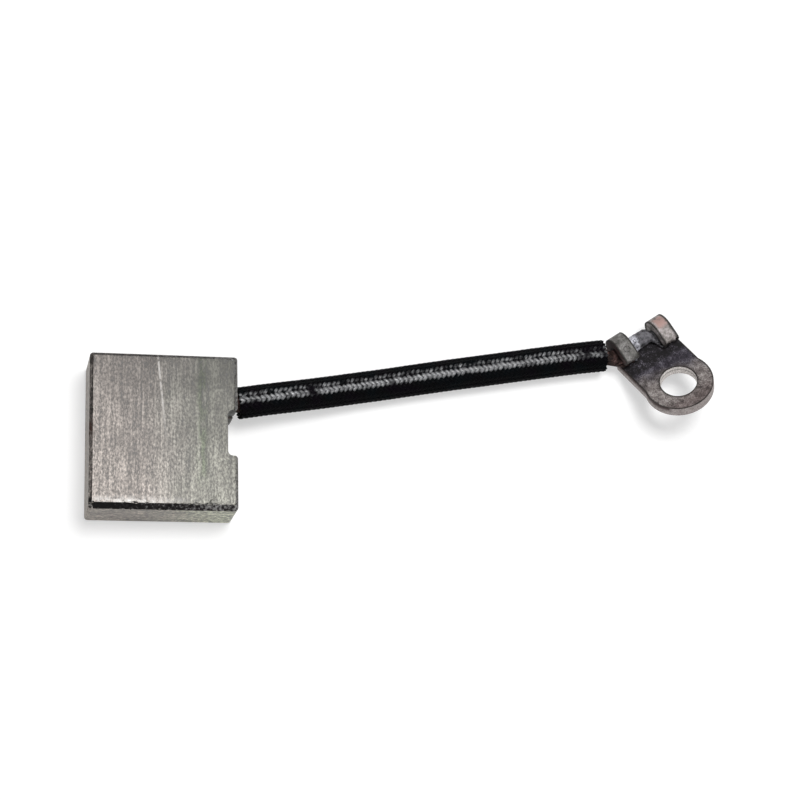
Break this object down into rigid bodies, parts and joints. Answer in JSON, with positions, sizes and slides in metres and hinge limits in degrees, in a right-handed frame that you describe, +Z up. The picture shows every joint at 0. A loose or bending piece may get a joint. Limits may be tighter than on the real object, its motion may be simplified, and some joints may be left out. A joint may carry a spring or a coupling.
{
  "type": "carbon brush",
  "caption": "Carbon brush: rectangular graphite block with a spring notch, a short copper lead in a black braided sleeve, and a flag ring terminal crimped across its end.",
  "frame": {"origin": "centre of the block's broad bottom face, on the surface that the block lies on", "axes": "+X from the contact face to the lead end, +Y across the block to the side where the lead leaves, +Z up through the block's thickness"},
  "size_m": [0.089, 0.0317, 0.009],
  "materials": {
    "graphite": "ground metal-graphite, matt grey with fine parallel grinding lines",
    "tamped_copper": "tamped copper powder, dull",
    "copper_strand": "fine stranded copper, dull brown",
    "sleeve_braid": "black varnished braid, glossy",
    "tinned_copper": "tinned sheet, tarnished grey and violet, copper showing at the worn spots"
  },
  "bodies": {
    "root": {"carbon_block": "graphite", "tamping_plug": "tamped_copper", "copper_lead": "copper_strand", "lead_sleeve": "sleeve_braid", "ring_terminal": "tinned_copper"}
  },
  "joints": []
}
